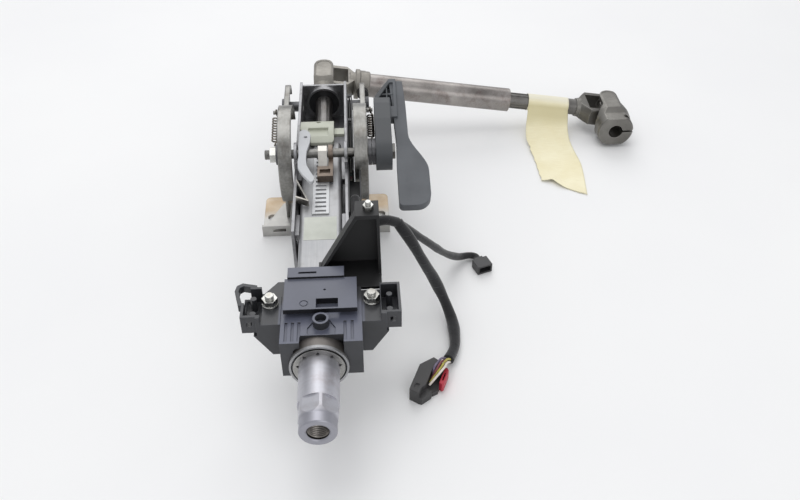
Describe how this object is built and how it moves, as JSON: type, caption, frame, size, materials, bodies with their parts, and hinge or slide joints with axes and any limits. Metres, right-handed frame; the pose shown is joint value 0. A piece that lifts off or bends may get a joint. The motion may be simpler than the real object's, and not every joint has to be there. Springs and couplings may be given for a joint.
{
  "type": "steering column",
  "caption": "Adjustable steering column lying on its bracket, with clamp lever, switch carrier, harness and a folded intermediate shaft with universal joints.",
  "frame": {"origin": "centre of the mounting face, between the two fixing holes", "axes": "X to the right seen from the wheel, Y from the wheel end to the rear, Z away from the mounting face"},
  "size_m": [0.3861, 0.4791, 0.138],
  "materials": {
    "bracket_steel": "zinc grey pressed sheet, tan tint on the rear of the feet",
    "plate_steel": "pale grey pressed sheet",
    "pin_steel": "dark turned steel",
    "spring_steel": "bright wire",
    "channel_steel": "grey pressed sheet",
    "bearing_steel": "ground steel",
    "bolt_steel": "zinc plated",
    "pale_green_plastic": "pale green moulded plastic",
    "light_grey_plastic": "light grey",
    "clip_steel": "bright strip",
    "black_plastic": "black moulded plastic",
    "wire": "coloured insulation",
    "lever_plastic": "dark grey grained plastic",
    "bronze": "brown bronze",
    "tube_aluminium": "grey drawn tube",
    "label_paper": "blank off-white label",
    "carrier_plastic": "blue black moulded plastic",
    "lid_plastic": "blue grey moulded plastic",
    "harness_tape": "black cloth tape",
    "red_plastic": "red lock",
    "shaft_steel": "bright turned steel",
    "forged_steel": "oiled forged steel",
    "tape_paper": "cream masking tape, blank"
  },
  "bodies": {
    "bracket": {"mounting_bracket": "bracket_steel", "left_side_plate": "plate_steel", "right_side_plate": "plate_steel", "pivot_pins": "pin_steel", "left_spring": "spring_steel", "right_spring": "spring_steel"},
    "channel": {"tilt_channel": "channel_steel", "rear_bearing": "bearing_steel", "clamp_bolt": "bolt_steel", "clamp_nut": "bolt_steel", "thrust_washer": "pin_steel", "fixed_cam": "pin_steel", "guide_block": "pale_green_plastic", "lock_arm": "light_grey_plastic", "spring_clip": "clip_steel", "crash_strap": "clip_steel", "wire_duct": "black_plastic", "duct_wires": "wire"},
    "lever": {"clamp_lever": "lever_plastic", "moving_cam": "pin_steel"},
    "pawl": {"lock_pawl": "bronze"},
    "reach_tube": {"column_tube": "tube_aluminium", "ladder_strip": "channel_steel", "label": "label_paper", "front_bearing": "bearing_steel", "switch_carrier": "carrier_plastic", "carrier_lid": "lid_plastic", "carrier_nuts": "bolt_steel", "harness_tower": "black_plastic", "tower_nut": "bolt_steel", "harness_trunk": "harness_tape", "thick_branch": "harness_tape", "thin_branch": "harness_tape", "large_connector": "black_plastic", "connector_lock": "red_plastic", "connector_wires": "wire", "small_connector": "black_plastic"},
    "wheel_shaft": {"wheel_shaft": "shaft_steel", "star_ring": "spring_steel"},
    "lower_shaft": {"lower_shaft": "forged_steel", "shaft_yoke": "forged_steel", "shaft_yoke_cups": "bearing_steel"},
    "upper_cross": {"upper_cross": "forged_steel"},
    "inter_tube": {"tube_yoke": "forged_steel", "tube_yoke_cups": "bearing_steel", "inter_tube": "forged_steel", "pinch_bolt": "pin_steel"},
    "inter_shaft": {"inter_shaft": "forged_steel", "shaft_fork": "forged_steel", "shaft_fork_cups": "bearing_steel", "tape_wrap": "tape_paper", "tape_flag": "tape_paper"},
    "lower_cross": {"lower_cross": "forged_steel"},
    "rack_yoke": {"rack_yoke": "forged_steel", "rack_yoke_cups": "bearing_steel"}
  },
  "joints": [
    {"name": "tilt", "type": "hinge", "parent": "bracket", "child": "channel", "pos_m": [0, 0.092, 0.07], "axis": [-1, 0, 0], "range_deg": [0, 3.5], "deforming": ["left_spring", "right_spring"]},
    {"name": "reach", "type": "slide", "parent": "channel", "child": "reach_tube", "axis": [0, 1, 0], "range_m": [-0.025, 0.025]},
    {"name": "lever_swing", "type": "hinge", "parent": "channel", "child": "lever", "pos_m": [0, -0.028, 0.094], "axis": [-1, 0, 0], "range_deg": [0, 55]},
    {"name": "pawl_lift", "type": "hinge", "parent": "channel", "child": "pawl", "pos_m": [0, -0.028, 0.094], "axis": [-1, 0, 0], "range_deg": [0, 8.25]},
    {"name": "column_spin", "type": "hinge", "parent": "channel", "child": "lower_shaft", "pos_m": [0, 0, 0.066], "axis": [0, 1, 0], "continuous": true},
    {"name": "wheel_spin", "type": "hinge", "parent": "reach_tube", "child": "wheel_shaft", "pos_m": [0, -0.25, 0.066], "axis": [0, 1, 0], "continuous": true},
    {"name": "joint_fold", "type": "hinge", "parent": "lower_shaft", "child": "upper_cross", "pos_m": [0, 0.1496, 0.066], "axis": [0, 0, 1], "range_deg": [0, 135]},
    {"name": "joint_nod", "type": "hinge", "parent": "upper_cross", "child": "inter_tube", "pos_m": [0, 0.1496, 0.066], "axis": [0, 1, 0], "range_deg": [-26, 9]},
    {"name": "shaft_slide", "type": "slide", "parent": "inter_tube", "child": "inter_shaft", "axis": [0.9887, 0, -0.1497], "range_m": [-0.018, 0.03]},
    {"name": "rack_nod", "type": "hinge", "parent": "inter_shaft", "child": "lower_cross", "pos_m": [0.3071, 0.1496, 0.0195], "axis": [0, 1, 0], "range_deg": [-10, 10]},
    {"name": "rack_fold", "type": "hinge", "parent": "lower_cross", "child": "rack_yoke", "pos_m": [0.3071, 0.1496, 0.0195], "axis": [0, 0, 1], "range_deg": [-4, 121]}
  ],
  "couplings": [
    {"joint": "wheel_spin", "follows": "column_spin", "ratio": 1},
    {"joint": "pawl_lift", "follows": "lever_swing", "ratio": 0.15}
  ]
}
